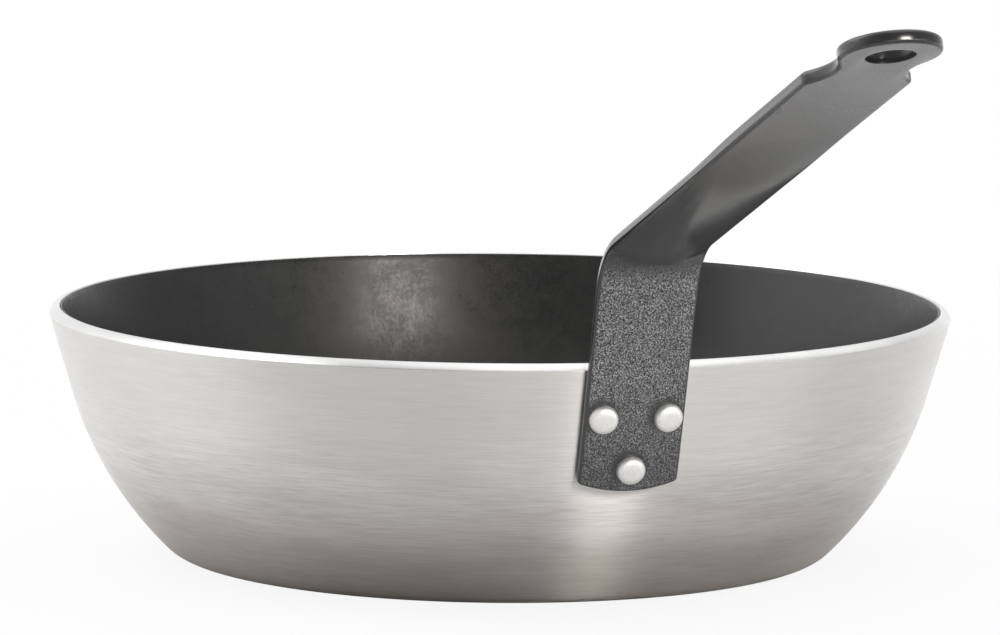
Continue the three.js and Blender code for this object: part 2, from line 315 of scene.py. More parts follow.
def bent(along, across, depth):
    """Where the bent strip carries points of its flat blank. Depth counts towards the pan."""
    point, wall_lean = wall_place(FOOT_DROP - np.minimum(along, bend_start))
    lean = wall_lean + np.clip((along - bend_start) / bend_middle, 0, bend_turn)
    straight = np.maximum(0, along - bend_end)
    entered = foot_curl + (1 / TROUGH_RADIUS - foot_curl) * eased(along, bend_start, bend_end)
    curl = np.maximum(entered * (1 - eased(along, trough_end, flat_start)), LEAST_CURL)
    tilt = across * curl
    outward = sagitta(curl, strip_half) - sagitta(curl, across) - depth * np.cos(tilt)
    radius = point[:, 0] + seat_offset * np.cos(wall_lean) + outward * np.cos(lean)
    radius += bend_middle * (np.cos(wall_lean) - np.cos(lean)) + straight * np.sin(lean)
    height = point[:, 1] - seat_offset * np.sin(wall_lean) - outward * np.sin(lean)
    height += bend_middle * (np.sin(lean) - np.sin(wall_lean)) + straight * np.cos(lean)
    sideways = np.sin(tilt) / curl - depth * np.sin(tilt)
    return np.column_stack([radius, sideways, height])


print("strip length in mm:", round(eye_along / MM, 1))
print("bend in degrees:", round(math.degrees(bend_turn), 1))

# %% [markdown]
# ## The outline of the blank
#
# The flat blank has a gently rounded foot, straight sides, two slightly rounded shoulders with a hollow
# scallop after each, and a round eye with a hole. A curve could be drawn by hand. Here each scallop is an
# arc that touches the eye's circle, so its middle is found where two circles about known points meet.

# %% Outline of the blank
EYE_RADIUS = 13.7 * MM
EYE_HOLE_RADIUS = 6.6 * MM
SHOULDER_SETBACK = 26.3 * MM
SCALLOP_RADIUS = 18 * MM
SHOULDER_ROUND = 3.5 * MM
FOOT_STEPS = 12
SHOULDER_STEPS = 8
SCALLOP_STEPS = 26
EYE_STEPS = 40
HOLE_STEPS = 32
ROUNDED_AWAY = 3  # steps of the scallop that the rounded shoulder takes the place of


def eye_edge():
    """Half the edge of the eye end, about the middle of the eye: a hollow scallop, then the round eye."""
    shoulder = np.array([-SHOULDER_SETBACK, strip_half])
    reach = EYE_RADIUS + SCALLOP_RADIUS
    span = np.linalg.norm(shoulder)
    foot = (reach**2 - SCALLOP_RADIUS**2 + span**2) / (2 * span)
    ahead = shoulder / span
    square = np.array([ahead[1], -ahead[0]])
    centre = foot * ahead + math.sqrt(reach**2 - foot**2) * square
    hollow_start = math.atan2(*(shoulder - centre)[::-1])
    hollow_end = math.atan2(*(-centre)[::-1])
    hollow = arc(centre, SCALLOP_RADIUS, hollow_start, hollow_end, SCALLOP_STEPS)
    eye = arc((0, 0), EYE_RADIUS, math.atan2(*centre[::-1]), 0, EYE_STEPS)
    return np.vstack([hollow, eye[1:]])


def half_blank():
    """Outline of the half with across above zero. It starts and ends on the middle line."""
    across = np.linspace(0, strip_half, FOOT_STEPS + 1)
    foot = np.column_stack([FOOT_SAG * (across / strip_half) ** 2, across])
    eye = eye_edge() + (eye_along, 0)
    shoulder = corner_arc(foot[-1], eye[0], eye[ROUNDED_AWAY], SHOULDER_ROUND, SHOULDER_STEPS)
    hole = arc((eye_along, 0), EYE_HOLE_RADIUS, 0, math.pi, HOLE_STEPS)
    return np.vstack([foot, shoulder, eye[ROUNDED_AWAY:], hole])


print("points on half the outline:", len(half_blank()))

# %% [markdown]
# ## The blank
#
# The outline is filled as two mirrored halves, since one polygon can't hold a hole, and given its
# thickness. A pressing has softer edges where the punch went in than round a drilled hole, so three groups
# of edges are bevelled one after the other, each with its own rounding. A Bevel modifier would round them
# all alike.

# %% Flat blank
TOP_EDGE_ROUND = 1.2 * MM
LOWER_EDGE_ROUND = 1.0 * MM
HOLE_EDGE_ROUND = 0.2 * MM
EDGE_STEPS = 4
SHARP_ANGLE = math.radians(25)
WELD = MM / 1000


def edge_place(edge):
    """Whether a sharp edge runs round the hole, along the top outline or along the lower one."""
    if (edge.verts[0].co.xy - Vector((eye_along, 0))).length < EYE_HOLE_RADIUS + MM:
        return "hole"
    return "top" if min(vert.co.z for vert in edge.verts) > 0 else "lower"


blank = bmesh.new()
for side in (1, -1):
    outline = [(along, side * across, STRIP_THICKNESS / 2) for along, across in half_blank()]
    corners = [blank.verts.new(corner) for corner in outline]
    blank.faces.new(corners if side > 0 else corners[::-1])
bmesh.ops.remove_doubles(blank, verts=blank.verts[:], dist=WELD)
bmesh.ops.recalc_face_normals(blank, faces=blank.faces[:])
grown = bmesh.ops.extrude_face_region(blank, geom=blank.faces[:], use_keep_orig=True)
grown_points = [item for item in grown["geom"] if isinstance(item, bmesh.types.BMVert)]
bmesh.ops.translate(blank, verts=grown_points, vec=(0, 0, -STRIP_THICKNESS))
bmesh.ops.recalc_face_normals(blank, faces=blank.faces[:])
edge_rounds = {"lower": LOWER_EDGE_ROUND, "top": TOP_EDGE_ROUND, "hole": HOLE_EDGE_ROUND}
for place, edge_round in edge_rounds.items():
    sharp = [edge for edge in blank.edges if edge.is_manifold and edge.calc_face_angle() > SHARP_ANGLE]
    bmesh.ops.bevel(
        blank,
        geom=[edge for edge in sharp if edge_place(edge) == place],
        offset=edge_round,
        segments=EDGE_STEPS,
        profile=0.5,
        affect="EDGES",
        clamp_overlap=False,
    )
print("blank faces:", len(blank.faces))

# %% [markdown]
# ## Slices
#
# A flat face can't bend, so the blank is sliced crosswise and lengthwise until there are enough points. The
# slices lie close together in the bend and far apart on the straight grip, where nothing turns.

# %% Slice the blank
FIRST_ROW = 3 * MM
WIDE_ROWS = 2.5 * MM
BEND_ROWS = 0.9 * MM
STRAIGHT_ROWS = 8 * MM
COLUMNS = 16
ON_CUT = MM / 10000

rows = np.concatenate(
    [
        np.arange(FIRST_ROW, bend_start, WIDE_ROWS),
        np.arange(bend_start, bend_end, BEND_ROWS),
        np.arange(bend_end, flat_start, WIDE_ROWS),
        np.arange(flat_start, eye_along - SHOULDER_SETBACK, STRAIGHT_ROWS),
    ]
)
columns = np.linspace(-strip_half, strip_half, COLUMNS + 2)[1:-1]
for normal, cuts in ((Vector((1, 0, 0)), rows), (Vector((0, 1, 0)), columns)):
    for cut in cuts:
        whole = [*blank.verts, *blank.edges, *blank.faces]
        bmesh.ops.bisect_plane(blank, geom=whole, dist=ON_CUT, plane_co=normal * cut, plane_no=normal)
bmesh.ops.triangulate(blank, faces=[face for face in blank.faces if len(face.verts) > 4])
print("rows:", len(rows), "columns:", len(columns), "faces:", len(blank.faces))

# %% [markdown]
# ## Bending
#
# Every point of the blank now goes through the rule. Two numbers stay with each point, because only the
# flat blank knows them: how many flecks the paint shows there, and how much painted sheen lightens it
# towards the eye. Flecks lie on the flat faces, thick on the foot and thin on the grip, and the cut edges
# have none.
# They are stored as attributes, which a material can read by name.

# %% Bend the blank
FLECK_FADE = 13 * MM  # from the start of the bend
LOST_ON_GRIP = 0.9
SHEEN_START = 80 * MM  # from the end of the bend

flat_points = np.array([vert.co for vert in blank.verts])
for vert, bent_place in zip(blank.verts, bent(*flat_points.T)):
    vert.co = bent_place
bmesh.ops.recalc_face_normals(blank, faces=blank.faces[:])
strip_mesh = bpy.data.meshes.new("handle_dressed")
blank.to_mesh(strip_mesh)
blank.free()
strip_mesh.polygons.foreach_set("use_smooth", np.ones(len(strip_mesh.polygons), bool))

along, _, depth = flat_points.T
on_flat = np.abs(depth) > STRIP_THICKNESS / 2 - WELD
on_grip = eased(along, bend_start, bend_start + FLECK_FADE)
point_values = {
    "fleck_share": on_flat * (1 - LOST_ON_GRIP * on_grip),
    # painted sheen: the enamel is painted lighter towards the eye
    "painted_sheen": on_flat * eased(along, bend_end + SHEEN_START, eye_along),
}
for name, values in point_values.items():
    strip_mesh.attributes.new(name, "FLOAT", "POINT").data.foreach_set("value", values)
handle = bpy.data.objects.new("handle_dressed", strip_mesh)
scene.collection.objects.link(handle)
print("handle faces:", len(strip_mesh.polygons))

# %% [markdown]
# ## Where the rivets sit
#
# Two rivets sit side by side above a third. Each goes square through the wall, so a station is a point on
# the wall and the direction out of it there. The paint needs these places before the rivets do: round each
# head it carries a painted shadow, set a little up and to the left.

# %% Rivet stations
UPPER_RIVET_RISE = 23.6 * MM
LOWER_RIVET_RISE = 7.3 * MM
RIVET_SPACING = 19 * MM


def rivet_station(rise, across):
    """Point on the wall and direction out of it."""
    point, lean = wall_place(np.array([FOOT_DROP - rise]))
    turn = Matrix.Rotation(math.asin(across / point[0, 0]), 3, "Z")
    out = Vector((math.cos(lean[0]), 0, -math.sin(lean[0])))
    return turn @ Vector((point[0, 0], 0, point[0, 1])), turn @ out


rivet_places = [
    rivet_station(UPPER_RIVET_RISE, -RIVET_SPACING / 2),
    rivet_station(UPPER_RIVET_RISE, RIVET_SPACING / 2),
    rivet_station(LOWER_RIVET_RISE, 0),
]
print("rivets:", len(rivet_places))

# %% [markdown]
# ## Writing nodes as sums
#
# Node trees are easier to read as arithmetic. One small class wraps a node's output, so that plus, minus,
# times, divide and power add Math nodes. A second class holds the tree, and its one method adds any node
# with its settings and sockets. The short methods after it name the few nodes that come up often.

# %% Node helpers
class Wire:
    """A node's output that takes part in sums."""

    def __init__(self, bench, socket):
        self.bench = bench
        self.socket = socket

    def out(self, name):
        return Wire(self.bench, self.socket.node.outputs[name])

    def math(self, operation, *values):
        return self.bench.node("ShaderNodeMath", {"operation": operation}, dict(enumerate(values)))

    def at_least(self, least):
        return self.math("MAXIMUM", self, least)

    def __add__(self, other):
        return self.math("ADD", self, other)

    def __sub__(self, other):
        return self.math("SUBTRACT", self, other)

    def __mul__(self, other):
        return self.math("MULTIPLY", self, other)

    def __truediv__(self, other):
        return self.math("DIVIDE", self, other)

    def __pow__(self, other):
        return self.math("POWER", self, other)

    def __radd__(self, other):
        return self.math("ADD", other, self)

    def __rsub__(self, other):
        return self.math("SUBTRACT", other, self)

    def __rmul__(self, other):
        return self.math("MULTIPLY", other, self)

    def __rtruediv__(self, other):
        return self.math("DIVIDE", other, self)


class Bench:
    """Adds nodes to one tree and joins them up."""

    def __init__(self, tree):
        self.tree = tree
        tree.nodes.clear()

    def node(self, kind, settings=None, sockets=None, out=0):
        node = self.tree.nodes.new(kind)
        for name, value in (settings or {}).items():
            setattr(node, name, value)
        for name, value in (sockets or {}).items():
            if isinstance(value, Wire):
                self.tree.links.new(value.socket, node.inputs[name])
            else:
                node.inputs[name].default_value = value
        return Wire(self, node.outputs[out]) if len(node.outputs) else node

    def place(self):
        """Where on the object a point lies."""
        return self.node("ShaderNodeTexCoord").out("Object")

    def stored(self, name):
        """A number that the mesh carries at each point."""
        return self.node("ShaderNodeAttribute", {"attribute_name": name}).out("Fac")

    def vector(self, x, y, z):
        return self.node("ShaderNodeCombineXYZ", {}, {"X": x, "Y": y, "Z": z})

    def split(self, vector):
        parts = self.node("ShaderNodeSeparateXYZ", {}, {"Vector": vector})
        return parts.out("X"), parts.out("Y"), parts.out("Z")

    def measure(self, operation, first, second):
        """A number from two vectors, such as their distance."""
        settings = {"operation": operation}
        return self.node("ShaderNodeVectorMath", settings, {0: first, 1: second}, out="Value")

    def mix(self, part, first, second):
        """Blends two colours."""
        return self.node("ShaderNodeMix", {"data_type": "RGBA"}, {0: part, 6: first, 7: second}, out=2)

    def ease(self, value, start, end):
        """0 before the start, 1 after the end and a soft S between."""
        sockets = {"Value": value, "From Min": start, "From Max": end}
        return self.node("ShaderNodeMapRange", {"interpolation_type": "SMOOTHSTEP"}, sockets)

    def noise(self, place, size, detail=2.0, roughness=0.5):
        sockets = {"Vector": place, "Scale": 1 / size, "Detail": detail, "Roughness": roughness}
        return self.node("ShaderNodeTexNoise", {}, sockets)

    def bump(self, height, strength, distance):
        sockets = {"Height": height, "Strength": strength, "Distance": distance}
        return self.node("ShaderNodeBump", {}, sockets)

    def surface(self, **sockets):
        """A Principled surface; Base_Color stands for the socket Base Color, and so on."""
        named = {name.replace("_", " "): value for name, value in sockets.items()}
        shader = self.node("ShaderNodeBsdfPrincipled", {}, named)
        self.node("ShaderNodeOutputMaterial", {}, {"Surface": shader})


def new_finish(name):
    """A new material and the bench to build it on."""
    material = bpy.data.materials.new(name)
    material.use_nodes = True
    return material, Bench(material.node_tree)


print("node helpers ready")

# %% [markdown]
# ## Strokes in the metal
#
# The wall was held against a belt while the pan turned, so fine strokes run round it. A picture of strokes
# could be wrapped on, but it would need a seam. Here noise is read on a stretched copy of space: slow round
# the pan and very fast up the wall, which draws thin strokes with no seam. Four such layers, from
# hair-fine to broad, make up the finish.

# %% Strokes
AXIS_GAP = 1e-6  # keeps the division safe on the axis
BASE_STROKES = 0.8  # how fast the strokes follow each other on the flat base

brushed, bench = new_finish("brushed_aluminium")
x, y, z = bench.split(bench.place())
from_axis = (x * x + y * y) ** 0.5 + AXIS_GAP
up_wall = z + BASE_STROKES * from_axis


def strokes(shortness, width, detail):
    """Strokes round the pan. The shortness is about the number of strokes in one radian of the turn."""
    stretched = bench.vector(x / from_axis * shortness, y / from_axis * shortness, up_wall / width)
    return bench.noise(stretched, 1.0, detail)


fine = strokes(shortness=12.0, width=0.4 * MM, detail=3.0)
coarse = strokes(shortness=6.0, width=2.0 * MM, detail=3.0)
broad = strokes(shortness=2.5, width=14 * MM, detail=2.0)
scratches = strokes(shortness=11.0, width=0.34 * MM, detail=1.0)
print("stroke nodes:", len(brushed.node_tree.nodes))

# %% [markdown]
# ## Brushed aluminium
#
# The strokes give light and dark metal. Towards the base the metal is darker and warmer: partly a warm heat
# tint, partly painted shade that stands for the shaded floor the lower wall mirrors. This painted shade is
# weaker on the right side, where the floor is lit more. Down there the strokes stand out more, and a few
# dark scratches and nicks have come in. The rim was dressed last, so it is smoother, brighter and
# unstained.
# Anisotropy smears reflections across the strokes, which gives the upright streaks of light that brushed
# pans have.

# %% Brushed aluminium
BARE_METAL = (0.655, 0.639, 0.619, 1), (0.776, 0.763, 0.747, 1)  # darkest and lightest strokes
# the lower wall: a warm heat tint, darkened further as painted shade
STAINED_SHADED_METAL = (0.436, 0.411, 0.386, 1), (0.496, 0.469, 0.442, 1)
DRESSED_METAL = (0.71, 0.71, 0.705, 1), (0.78, 0.78, 0.775, 1)
SCRATCH_COLOUR = (0.33, 0.315, 0.3, 1)
SCRATCH_DEPTH = 0.26
NICK_COLOUR = (0.2, 0.195, 0.19, 1)
NICK_DEPTH = 0.7
NICKS_PER_METRE = 42.0
NICK_EDGE = 0.012, 0.03  # of a nick's own share of the wall
FEW_NICKS = 0.78, 0.8  # only the luckiest shares have one
RIM_LINE = PAN_HEIGHT - RIM_SLOPE_DROP
RIM_BLUR = 0.15 * MM
WORN_FADE = 30 * MM, 60 * MM  # heights between which a mark comes or goes
# heights over which the warm tint and painted shade of the lower wall fade, and how far their edge wavers
STAIN_SHADE_FADE = 8 * MM, 45 * MM
STAIN_SHADE_WAVER = 12 * MM
SCRATCHES_COME = 10 * MM, 18 * MM
SCRATCHES_GO = 34 * MM, 58 * MM

rim = bench.ease(z, RIM_LINE - RIM_BLUR, RIM_LINE + RIM_BLUR)
worn = 1 - bench.ease(z, *WORN_FADE)
tone = bench.ease(fine * 0.5 + coarse * 0.25 + broad * 0.25, 0.3, 0.7)
tone = 0.5 + (tone - 0.5) * (0.7 + 1.3 * worn)
# Painted shade, with a real warm tint: the lower wall is darkened, standing for the shaded floor it
# mirrors.
stain_and_shade = 1 - bench.ease(z + STAIN_SHADE_WAVER * (broad - 0.5), *STAIN_SHADE_FADE)
# The painted shade is weaker on the right side, where the floor is lit more.
stain_and_shade = stain_and_shade * (0.9 - 0.45 * bench.ease(y / from_axis, 0.3, 0.9))
metal = bench.mix(stain_and_shade, bench.mix(tone, *BARE_METAL), bench.mix(tone, *STAINED_SHADED_METAL))

scratch_band = bench.ease(z, *SCRATCHES_COME) * (1 - bench.ease(z, *SCRATCHES_GO))
scratch = bench.ease(scratches, 0.6, 0.72) * scratch_band
metal = bench.mix(scratch * SCRATCH_DEPTH, metal, SCRATCH_COLOUR)
nick_places = {"Vector": bench.vector(x * 0.5, y * 0.5, z), "Scale": NICKS_PER_METRE}
nick_cells = bench.node("ShaderNodeTexVoronoi", {}, nick_places)
nick_luck = bench.split(nick_cells.out("Color"))[0]
nick = (1 - bench.ease(nick_cells, *NICK_EDGE)) * bench.ease(nick_luck, *FEW_NICKS) * (1 - rim)
metal = bench.mix(nick * NICK_DEPTH, metal, NICK_COLOUR)

dressed = bench.mix(bench.ease(coarse, 0.35, 0.65), *DRESSED_METAL)
relief = (fine * 0.6 + coarse * 0.4) * (1 - rim) - nick
bench.surface(
    Base_Color=bench.mix(rim, metal, dressed),
    Metallic=1.0,
    Roughness=(0.3 + 0.1 * fine) * (1 - rim) + 0.27 * rim,
    Anisotropic=1.0,
    Anisotropic_Rotation=0.25,
    Normal=bench.bump(relief, strength=0.22, distance=0.03 * MM),
)
print("brushed aluminium nodes:", len(brushed.node_tree.nodes))

# %% [markdown]
# ## Non-stick coating
#
# The coating is sprayed on and baked: nearly black, slightly warm, with a very fine grain. Use has polished
# it in soft blotches, so two noises vary how sharp its one broad reflection is. Lower down it is rougher,
# and there the reflection fades out.

# %% Non-stick coating
COATING = (0.0145, 0.0142, 0.0134, 1), (0.027, 0.0263, 0.0248, 1)
GRAIN = 0.55 * MM
BLOTCH = 6 * MM
SPECK = 1.3 * MM
DULL_FADE = 34 * MM, 62 * MM  # heights between which the rougher lower part ends

nonstick, bench = new_finish("nonstick_coating")
place = bench.place()
height = bench.split(place)[2]
grain = bench.noise(place, GRAIN, 3.0, 0.6)
blotch = bench.noise(place, BLOTCH, 4.0, 0.6)
speck = bench.noise(place, SPECK)
shade = bench.ease(0.5 * grain + 0.3 * blotch + 0.2 * speck, 0.35, 0.65)
dull = 0.06 * bench.ease(grain, 0.35, 0.65) + 0.1 * bench.ease(blotch * 0.6 + speck * 0.4, 0.36, 0.64)
low = 1 - bench.ease(height, *DULL_FADE)
bench.surface(
    Base_Color=bench.mix(shade, *COATING),
    Roughness=0.265 + dull + 0.18 * low,
    IOR=1.5,
    Normal=bench.bump(grain * 0.6 + speck * 0.4, strength=0.25, distance=0.05 * MM),
)
print("coating nodes:", len(nonstick.node_tree.nodes))

# %% [markdown]
# ## Hammertone paint
#
# The strip is coated with a dark enamel in which tiny bright flecks of metal gather as it bakes. Two fine
# noises are mixed and cut hard, so that they read as flecks and not as clouds. The stored share says where
# they lie. Fewer flecks low on the foot make it darker as painted shade, and fewer flecks round each rivet
# head give it a painted shadow, set up and to the left. A slow noise lets the tone drift, and near the eye
# the enamel is painted lighter as a painted sheen. A clear coat over it all gives the sheen that shows when
# the strip is seen at a low angle.

# %% Hammertone paint
ENAMEL = (0.026, 0.026, 0.027, 1)
# lighter enamel near the eye, a painted sheen
PAINTED_SHEEN_ENAMEL = (0.16, 0.16, 0.163, 1)
FLECK_COLOUR = (0.57, 0.57, 0.575, 1)
DRIFT_COLOUR = (0.05, 0.05, 0.052, 1)
FLECK = 0.45 * MM
CRUMB = 0.29 * MM
DRIFT = 12 * MM
FLECK_CUT = 0.41, 0.7
FOOT_SHADE_FADE = 40 * MM, 78 * MM  # heights between which the painted shade low on the foot fades out
# painted shadow round each rivet head, set up and to the left of the head
RIVET_SHADOW_OFFSET = Vector((0, -0.7, 0.7)) * MM
RIVET_SHADOW_EDGE = 4.3 * MM, 6.6 * MM

hammertone, bench = new_finish("hammertone_paint")
place = bench.place()
mottle = 0.6 * bench.noise(place, FLECK, 1.0) + 0.4 * bench.noise(place, CRUMB, 1.0)
drift = bench.ease(bench.noise(place, DRIFT), 0.3, 0.8)
height = bench.split(place)[2]
# Painted shade: fewer flecks, so darker paint, low on the foot.
share = bench.stored("fleck_share") * (0.6 + 0.4 * bench.ease(height, *FOOT_SHADE_FADE))
# Painted shadow: fewer flecks, so darker paint, round each rivet head.
for point, out in rivet_places:
    rivet_shadow_centre = point + out * (SEAT_GAP + STRIP_THICKNESS) + RIVET_SHADOW_OFFSET
    from_rivet_shadow = bench.measure("DISTANCE", place, rivet_shadow_centre)
    share = share * (0.2 + 0.8 * bench.ease(from_rivet_shadow, *RIVET_SHADOW_EDGE))
fleck = bench.ease(mottle, *FLECK_CUT) * share
# Painted sheen: lighter enamel towards the eye, where the strip is seen at a low angle.
enamel = bench.mix(bench.stored("painted_sheen"), ENAMEL, PAINTED_SHEEN_ENAMEL)
paint = bench.mix(fleck, enamel, FLECK_COLOUR)
bench.surface(
    Base_Color=bench.mix(drift * 0.15, paint, DRIFT_COLOUR),
    Metallic=0.92 * fleck,
    Roughness=0.5 - 0.2 * fleck,
    Specular_IOR_Level=0.0,
    Coat_Weight=0.8 + 0.2 * bench.ease(mottle, 0.3, 0.7),
    Coat_Roughness=0.19,
    Coat_IOR=1.66,
    Normal=bench.bump(mottle * share, strength=0.12, distance=0.15 * MM),
)
print("paint nodes:", len(hammertone.node_tree.nodes))

# %% [markdown]
# ## Rivet aluminium
#
# Rivets are softer, cleaner metal than the brushed wall. The setting tool leaves them smooth, with faint
# dents and scuffs.

# %% Rivet aluminium
RIVET_METAL = (0.74, 0.735, 0.72, 1), (0.84, 0.84, 0.83, 1)
DENT = 1.8 * MM
SCUFF = 0.5 * MM

rivet_metal, bench = new_finish("rivet_aluminium")
place = bench.place()
dents = bench.noise(place, DENT)
scuffs = bench.noise(place, SCUFF, 3.0)
bench.surface(
    Base_Color=bench.mix(bench.ease(scuffs, 0.3, 0.7), *RIVET_METAL),
    Metallic=1.0,
    Roughness=0.52 + 0.1 * scuffs,
    Normal=bench.bump(dents, strength=0.2, distance=0.15 * MM),
)
print("rivet nodes:", len(rivet_metal.node_tree.nodes))

# %% [markdown]
# ## The rivets
#
# Three alike rivets are a case for Geometry Nodes: one rivet is made inside the tree from its sizes, and
# set on each station of a small point mesh. A head is a ball whose points are pulled onto a rounded square
# curve, flat on top and tight at the edge; the shank is a plain cylinder.

# %% One rivet
SEAT_BITE = 0.1 * MM  # a head's edge is pressed into what it sits on
RIVET_SIZES = {
    "Outer head radius": 4.3 * MM,
    "Outer head height": 2.7 * MM,
    "Outer seat": SEAT_GAP + STRIP_THICKNESS - SEAT_BITE,
    "Inner head radius": 4.5 * MM,
    "Inner head height": 1.6 * MM,
    "Inner seat": lining_face - SEAT_BITE,
    "Shank radius": 2.4 * MM,
}
RIVET_SIDES = 48
HEAD_RINGS = 40
EDGE_TIGHTNESS = 0.5  # powers of the head's curve: 1 is a ball, less is squarer
TOP_FLATNESS = 0.55
POLE_GAP = 1e-4

tree = bpy.data.node_groups.new("rivets", "GeometryNodeTree")
bench = Bench(tree)
tree.interface.new_socket("Geometry", in_out="INPUT", socket_type="NodeSocketGeometry")
for size_name in RIVET_SIZES:
    tree.interface.new_socket(size_name, in_out="INPUT", socket_type="NodeSocketFloat")
tree.interface.new_socket("Sides", in_out="INPUT", socket_type="NodeSocketInt")
tree.interface.new_socket("Finish", in_out="INPUT", socket_type="NodeSocketMaterial")
tree.interface.new_socket("Geometry", in_out="OUTPUT", socket_type="NodeSocketGeometry")
given = bench.node("NodeGroupInput")


def rivet_head(radius, height):
    """A ball squared off to a head: flat below, nearly flat on top, round at the edge."""
    sizes = {"Segments": given.out("Sides"), "Rings": HEAD_RINGS, "Radius": 1.0}
    ball = bench.node("GeometryNodeMeshUVSphere", {}, sizes)
    x, y, z = bench.split(bench.node("GeometryNodeInputPosition"))
    from_axis = ((x * x + y * y) ** 0.5).at_least(POLE_GAP)
    spread = radius / from_axis**EDGE_TIGHTNESS
    rise = height * z.at_least(0.0) ** TOP_FLATNESS
    squared = bench.vector(x * spread, y * spread, rise)
    return bench.node("GeometryNodeSetPosition", {}, {"Geometry": ball, "Position": squared})


def moved(shape, lift, turn=(0, 0, 0)):
    """A shape shifted along the rivet and turned."""
    sockets = {"Geometry": shape, "Translation": bench.vector(0.0, 0.0, lift), "Rotation": turn}
    return bench.node("GeometryNodeTransform", {}, sockets)


outer_seat, inner_seat = given.out("Outer seat"), given.out("Inner seat")
outer_head = rivet_head(given.out("Outer head radius"), given.out("Outer head height"))
outer_head = moved(outer_head, outer_seat)
inner_head = rivet_head(given.out("Inner head radius"), given.out("Inner head height"))
inner_head = moved(inner_head, inner_seat * -1.0, (math.pi, 0, 0))
shank_sizes = {
    "Vertices": given.out("Sides"),
    "Radius": given.out("Shank radius"),
    "Depth": outer_seat + inner_seat,
}
shank = bench.node("GeometryNodeMeshCylinder", {}, shank_sizes)
shank = moved(shank, (outer_seat - inner_seat) * 0.5)
joined = bench.node("GeometryNodeJoinGeometry", {}, {"Geometry": outer_head})
for shape in (inner_head, shank):
    tree.links.new(shape.socket, joined.socket.node.inputs["Geometry"])
print("nodes for one rivet:", len(tree.nodes))

# %% [markdown]
# ## Setting the rivets
#
# The rest of the tree puts a copy on every station and turns it to the stored direction out of the wall.
# Realize Instances makes the copies real faces. Then the sizes are filled in, each by its socket's
# identifier, and the result becomes a plain mesh.

# %% Set the rivets
as_direction = {"data_type": "FLOAT_VECTOR"}
outward = bench.node("GeometryNodeInputNamedAttribute", as_direction, {"Name": "outward"})
facing = bench.node("FunctionNodeAlignRotationToVector", {"axis": "Z"}, {"Vector": outward})
stations = bench.node("GeometryNodeMeshToPoints", {}, {"Mesh": given.out("Geometry")})
on_stations = {"Points": stations, "Instance": joined, "Rotation": facing}
copies = bench.node("GeometryNodeInstanceOnPoints", {}, on_stations)
smooth = bench.node("GeometryNodeSetShadeSmooth", {}, {"Geometry": copies})
real = bench.node("GeometryNodeRealizeInstances", {}, {"Geometry": smooth})
with_finish = {"Geometry": real, "Material": given.out("Finish")}
finished = bench.node("GeometryNodeSetMaterial", {}, with_finish)
bench.node("NodeGroupOutput", {}, {"Geometry": finished})

station_mesh = bpy.data.meshes.new("rivet_stations")
station_mesh.from_pydata([point for point, _ in rivet_places], [], [])
directions = station_mesh.attributes.new("outward", "FLOAT_VECTOR", "POINT")
directions.data.foreach_set("vector", [part for _, out in rivet_places for part in out])
station_piece = bpy.data.objects.new("rivet_stations", station_mesh)
scene.collection.objects.link(station_piece)
setting = station_piece.modifiers.new("rivets", "NODES")
setting.node_group = tree
inputs = {
    item.name: item.identifier
    for item in tree.interface.items_tree
    if item.item_type == "SOCKET" and item.in_out == "INPUT"
}
for name, value in {**RIVET_SIZES, "Sides": RIVET_SIDES, "Finish": rivet_metal}.items():
    setting[inputs[name]] = value
evaluated = station_piece.evaluated_get(bpy.context.evaluated_depsgraph_get())
rivet_mesh = bpy.data.meshes.new_from_object(evaluated)
rivet_mesh.name = "rivets_dressed"
bpy.data.objects.remove(station_piece)
rivets = bpy.data.objects.new("rivets_dressed", rivet_mesh)
scene.collection.objects.link(rivets)
print("rivet faces:", len(rivet_mesh.polygons))

# %% [markdown]
# ## Handing the pieces over
#
# Each dressed piece takes the place of its measured solid and stays with the pan's one rigid body.

# %% Pieces and finishes
def dress(piece, slot, *nodes):
    """Puts a dressed piece in the place of its measured solids."""
    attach(piece, "root")
    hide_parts(*nodes)
    print(piece.name, "stands for", ", ".join(nodes))


pan_body.data.materials.append(brushed)
lining.data.materials.append(nonstick)
handle.data.materials.append(hammertone)
dress(pan_body, "brushed_aluminium", "pan_body")
dress(lining, "nonstick_coating", "nonstick_lining")
dress(handle, "hammertone_paint", "handle")
dress(rivets, "rivet_aluminium", "rivet_upper_left", "rivet_upper_right", "rivet_lower")

# %% [markdown]
# ## Floor
#
# The pan stands on a white floor. To the camera the floor is white paper with a faint shadow near the pan.
# To the metal it is a real lit floor, since that is what a leaning wall mirrors, and far behind the pan it
# is brighter still, as paper that sweeps up to a lit backdrop is. Light Path tells the two kinds of ray
# apart.

# %% Floor
FLOOR_REACH = 9.0
FLOOR_DROP = 0.2 * MM
PAPER = (0.9, 0.9, 0.9, 1)
WHITE = (1, 1, 1, 1)
SHADOW_SHARE = 0.1  # how much of the real, shaded floor the camera sees beside the pan
SHADOW_FADE = 0.25, 0.8  # distances from the pan's axis
FAR_GLOW = 0.75
FAR_FADE = 0.4, 1.2

